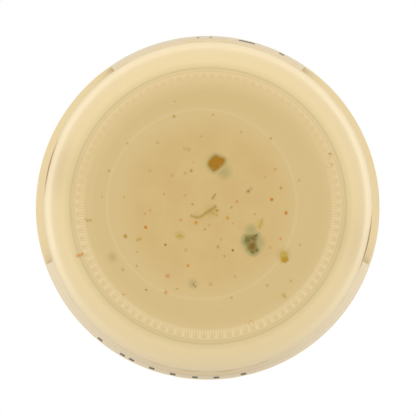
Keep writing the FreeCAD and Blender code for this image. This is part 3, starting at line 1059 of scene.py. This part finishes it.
# %% Label material
def label_material(name, length, strokes, paper_tones):
    """Varnished label paper; strokes are (middle, width, low, high, colour) in millimetres."""
    material, tree = new_material(name)
    uv = add_node(tree, "ShaderNodeUVMap", uv_map="print")
    half = length / 2
    scaled = add_node(tree, "ShaderNodeMapping",
                      {"Vector": uv.outputs["UV"], "Location": (-half, 0, 0),
                       "Scale": (length, LABEL_TALL, 1)}).outputs["Vector"]
    place = add_node(tree, "ShaderNodeSeparateXYZ", {0: scaled})
    x, y = place.outputs["X"], place.outputs["Y"]
    fibres = add_node(tree, "ShaderNodeTexNoise",
                      {"Vector": scaled, "Scale": 1.6, "Detail": 6.0}).outputs["Fac"]
    dark, light, most = paper_tones
    colour = colour_ramp(tree, fibres, [(0.3, hex_to_linear(dark)), (0.7, hex_to_linear(light))])
    fading = remap(tree, maths(tree, "ABSOLUTE", x), FADE_STARTS * half, FADE_ENDS * half,
                   0.0, most)
    colour = printed(tree, colour, x, y, half, fading)
    for middle, width, low, high, code in strokes:
        colour = paint(tree, colour, code, box_mask(
            tree, x, y, (middle - width / 2, low), (middle + width / 2, high)))
    # The face towards the jar is painted darker, as painted shade on the paper's back.
    glue = paint(tree, hex_to_linear(DRY_GLUE), CREAM, fading)
    colour = cover(tree, colour, glue, glue_side(tree))
    grain = add_node(tree, "ShaderNodeBump",
                     {"Height": fibres, "Strength": 0.08, "Distance": 0.0001})
    paper = add_node(tree, "ShaderNodeBsdfPrincipled", {
        "Base Color": colour, "Roughness": 0.5, "Coat Weight": 0.15, "Coat Roughness": 0.3,
        "Normal": grain.outputs["Normal"]})
    finish_material(tree, paper.outputs["BSDF"])
    return material


# %% Label pieces
FRONT_SPAN, BACK_SPAN = 141.0, 69.0
STROKE_LOW, STROKE_HIGH = 39.5, 50.0
STROKE_WIDTH = 1.35


def stroke(angle, width, code=INK_BROWN):
    return (math.radians(angle) * LABEL_RADIUS, width, STROKE_LOW, STROKE_HIGH, code)


front_strokes = [stroke(angle, STROKE_WIDTH)
                 for angle in (-12.1, -2.9, 4.3, 11.9, 19.2, 26.6, 30.1, 39.2)]
back_strokes = [stroke(-3.3, 0.6, INK_GREY), stroke(1.0, 0.6, INK_GREY), stroke(13.3, 4.0),
                stroke(25.7, 1.3)]
for name, span, facing, strokes in (("label_front", FRONT_SPAN, -90, front_strokes),
                                    ("label_back", BACK_SPAN, 90, back_strokes)):
    length = math.radians(span) * LABEL_RADIUS
    print(name, "length", round(length, 1), "strokes", len(strokes))
    ink = label_material("varnished_" + name, length, strokes, PAPER[name.split("_")[1]])
    label_sheet(name, span, facing, ink)

# %% [markdown]
# ## Lid
#
# The lid is pressed from tinplate and enamelled inside and out. Its panel is sunk below the rim
# and has a button that pops up when the seal breaks, its skirt ends in a curled hem, and four lugs
# of that hem grip the glass thread. It's spun from one closed outline, out along the top and back
# along the inside, then the hem is pushed in at the lugs, as the press does.

# %% Outline of the lid
lid_low, lid_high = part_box("lid")
LID_TOP, LID_FOOT = lid_high.z / MM, lid_low.z / MM
HEM = lid_high.x / MM
SHEET = 0.5
LID_PANEL = LID_TOP - 1.1
BUTTON_RISE = 0.45
GROOVE_DEPTH = 0.2
SKIRT = HEM - 0.6
SKIRT_INSIDE = SKIRT - SHEET
HEM_INSIDE = HEM - 1.7
button_top = [(0, LID_PANEL + BUTTON_RISE, 0), (11.6, LID_PANEL + BUTTON_RISE, 0.8),
              (12.8, LID_PANEL, 0.8)]
panel_top = [(21.0, LID_PANEL, 0.6), (21.6, LID_PANEL - GROOVE_DEPTH, 0.6),
             (22.2, LID_PANEL, 0.6), (29.9, LID_PANEL, 0.6), (31.0, LID_TOP, 0.6)]
skirt_outside = [(SKIRT, LID_TOP, 1.6), (SKIRT, LID_FOOT + 2.0, 0.4)]
hem = [(HEM, LID_FOOT + 1.6, 0.4), (HEM, LID_FOOT, 0.45), (HEM_INSIDE, LID_FOOT, 0.45),
       (HEM_INSIDE, LID_FOOT + 2.0, 0.3)]
inside = [(SKIRT_INSIDE, LID_FOOT + 2.3, 0.2), (SKIRT_INSIDE, LID_TOP - SHEET, 1.1),
          (31.2, LID_TOP - SHEET, 0.3), (30.2, LID_PANEL - SHEET, 0.3),
          (12.6, LID_PANEL - SHEET, 0.3), (11.4, LID_PANEL + BUTTON_RISE - SHEET, 0.3),
          (0, LID_PANEL + BUTTON_RISE - SHEET, 0)]
bm = bmesh.new()
chain(bm, [*button_top, *panel_top, *skirt_outside, *hem, *inside])
spin(bm, 240)

# %% Lugs
LUGS = 4
LUG_PUSH = 0.35
LUG_REACH = (4.0, 8.0)
pushed = 0
for vert in bm.verts:
    if vert.co.z < (LID_FOOT + 2.4) * MM:
        aside = math.degrees(beside(angle_of(vert), LUGS))
        push = LUG_PUSH * (1 - smooth_step(aside, *LUG_REACH))
        push *= 1 - smooth_step(vert.co.z / MM, LID_FOOT + 1.6, LID_FOOT + 2.4)
        inwards = 1 - push / radius_of(vert)
        vert.co.x *= inwards
        vert.co.y *= inwards
        pushed += push > 0
print("points pushed in at the lugs", pushed)

# %% Enamel
ENAMEL_DARK, ENAMEL_LIGHT = "#4A2F20", "#533526"


def enamel_material():
    """Baked enamel: a glossy skin with a faint orange peel, over smooth tinplate."""
    material, tree = new_material("baked_enamel_on_tinplate")
    place = add_node(tree, "ShaderNodeTexCoord")
    peel = add_node(tree, "ShaderNodeTexNoise", {
        "Vector": place.outputs["Object"], "Scale": 1100.0, "Detail": 2.0}).outputs["Fac"]
    tone = colour_ramp(tree, peel, [(0.3, hex_to_linear(ENAMEL_DARK)),
                                    (0.7, hex_to_linear(ENAMEL_LIGHT))])
    bump = add_node(tree, "ShaderNodeBump",
                    {"Height": peel, "Strength": 0.15, "Distance": 0.0001})
    skin = add_node(tree, "ShaderNodeBsdfPrincipled", {
        "Base Color": tone, "Roughness": 0.32, "Coat Weight": 0.4,
        "Coat Roughness": 0.12, "Normal": bump.outputs["Normal"]})
    finish_material(tree, skin.outputs["BSDF"])
    return material


lid = make_object(bm, "enamelled_lid", enamel_material(), crease=50)
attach(lid, "root")
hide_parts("lid")

# %% [markdown]
# ## Floor
#
# The floor is a plain pale sheet. The camera is below the jar, so the sheet shows from above only:
# the Backfacing output mixes in a transparent shader on its underside. It takes no part in shadows
# or mirrored light, or it would darken the very base that the camera looks at.

# %% Floor
FLOOR_HALF = 1.5
bm = bmesh.new()
bmesh.ops.create_grid(bm, x_segments=2, y_segments=2, size=FLOOR_HALF)
material, tree = new_material("pale_studio_floor")
geometry = add_node(tree, "ShaderNodeNewGeometry")
paper = add_node(tree, "ShaderNodeBsdfPrincipled",
                 {"Base Color": hex_to_linear("#EDEBE8"), "Roughness": 0.9})
clear = add_node(tree, "ShaderNodeBsdfTransparent")
finish_material(tree, mix_shaders(tree, geometry.outputs["Backfacing"], paper.outputs["BSDF"],
                                  clear.outputs["BSDF"]))
floor = make_object(bm, "studio_floor", material)
for ray in ("visible_shadow", "visible_diffuse", "visible_glossy", "visible_transmission"):
    setattr(floor, ray, False)

# %% [markdown]
# ## World
#
# The jar stands in a soft white tent. Rays from the camera, and those that pass through the glass,
# see plain white. Matt surfaces get one even soft light. Only mirrored rays see the tent's shape: a
# smooth band, bright at the sides and dim towards the front, that draws the gloss on the glass.
# A single backdrop would light all three alike, so the Light Path node parts them.

# %% Tent
SOFT_LIGHT = 0.86
TENT = 3.0
world = bpy.data.worlds.new("studio_world")
bpy.context.scene.world = world
world.use_nodes = True
tree = world.node_tree
tree.nodes.clear()


def grey(value):
    return (value, value, value, 1.0)


def direction_ramp(output, stops):
    """Brightness by one part of the direction, which runs from -1 to 1."""
    share = remap(tree, output, -1.0, 1.0, kind="LINEAR")
    return colour_ramp(tree, share, [((place + 1) / 2, grey(value)) for place, value in stops])


def background(strength):
    return add_node(tree, "ShaderNodeBackground",
                    {"Color": grey(1.0), "Strength": strength}).outputs["Background"]


way = add_node(tree, "ShaderNodeTexCoord")
parts = add_node(tree, "ShaderNodeSeparateXYZ", {0: way.outputs["Generated"]})
by_height = direction_ramp(parts.outputs["Z"], [
    (-1.0, 0.08), (-0.55, 0.05), (-0.3, 0.08), (-0.05, 0.5), (0.15, 1.0), (0.25, 1.0),
    (0.6, 0.6), (0.85, 0.28), (1.0, 0.25)])
by_side = direction_ramp(parts.outputs["Y"], [
    (-1.0, 0.06), (-0.7, 0.28), (-0.2, 0.85), (0.1, 0.9), (0.65, 0.8), (1.0, 0.55)])
tent = maths(tree, "MULTIPLY", maths(tree, "MULTIPLY", by_height, by_side), TENT)
rays = add_node(tree, "ShaderNodeLightPath")
seen = maths(tree, "MAXIMUM", rays.outputs["Is Camera Ray"], rays.outputs["Is Transmission Ray"])
lit = mix_shaders(tree, rays.outputs["Is Glossy Ray"], background(SOFT_LIGHT), background(tent))
add_node(tree, "ShaderNodeOutputWorld",
         {"Surface": mix_shaders(tree, seen, lit, background(1.0))})
print("world nodes", len(tree.nodes))

# %% [markdown]
# ## Lamps
#
# Square soft boxes, as a studio for products has them, give the jar its form: two below for the
# base, two above at the front and one above at the back. All face the middle of the jar. They are
# hidden from mirrored rays, because five square highlights would break up the tent's smooth band.

# %% Lamps
LAMP_SIZE = 0.5
AIM = Vector((0, 0, 0.05))


def add_lamp(name, place, strength):
    """A square soft box that faces the jar's middle; strength is its brightness where seen."""
    lamp = bpy.data.lights.new(name, "AREA")
    lamp.shape = "SQUARE"
    lamp.size = LAMP_SIZE
    lamp.energy = strength * LAMP_SIZE * LAMP_SIZE * math.pi
    piece = bpy.data.objects.new(name, lamp)
    piece.location = place
    piece.rotation_euler = (AIM - Vector(place)).to_track_quat("-Z", "Y").to_euler()
    piece.visible_glossy = False
    bpy.context.scene.collection.objects.link(piece)
    print(name, round(lamp.energy, 2), "watts")


for name, place, strength in (
        ("below_left", (-0.55, 0.35, -0.75), 1.8), ("below_right", (0.6, 0.2, -0.7), 1.6),
        ("above_left", (-0.6, -0.5, 0.8), 1.6), ("above_right", (0.7, -0.3, 0.6), 0.9),
        ("above_back", (0.1, 0.8, 0.6), 0.95)):
    add_lamp("soft_box_" + name, place, strength)

# %% [markdown]
# ## Camera
#
# The camera looks up at the base from 1.2 m below, almost along the axis, with the front label at
# the bottom of the view. A long lens keeps the jar's wall in a thin ring round its base. Looking
# along the axis leaves a track constraint free to roll, so the camera's own axes are worked out.

# %% Camera
CAMERA_PLACE = (1.93 * MM, -8.80 * MM, -1.2)
TARGET = Vector((0.035 * MM, -0.527 * MM, 0))
camera_data = bpy.data.cameras.new("camera")
camera_data.lens = 436.4
camera_data.sensor_width = 36
camera_data.clip_end = 10
camera = bpy.data.objects.new("camera", camera_data)
camera.location = CAMERA_PLACE
forward = (TARGET - camera.location).normalized()
right = Vector((0, 1, 0)).cross(-forward).normalized()
up = (-forward).cross(right)
camera.rotation_euler = Matrix((right, up, -forward)).transposed().to_euler()
bpy.context.scene.collection.objects.link(camera)
bpy.context.scene.camera = camera
bpy.context.scene.view_settings.view_transform = "Standard"
print("view angle", round(math.degrees(camera_data.angle), 2), "degrees")
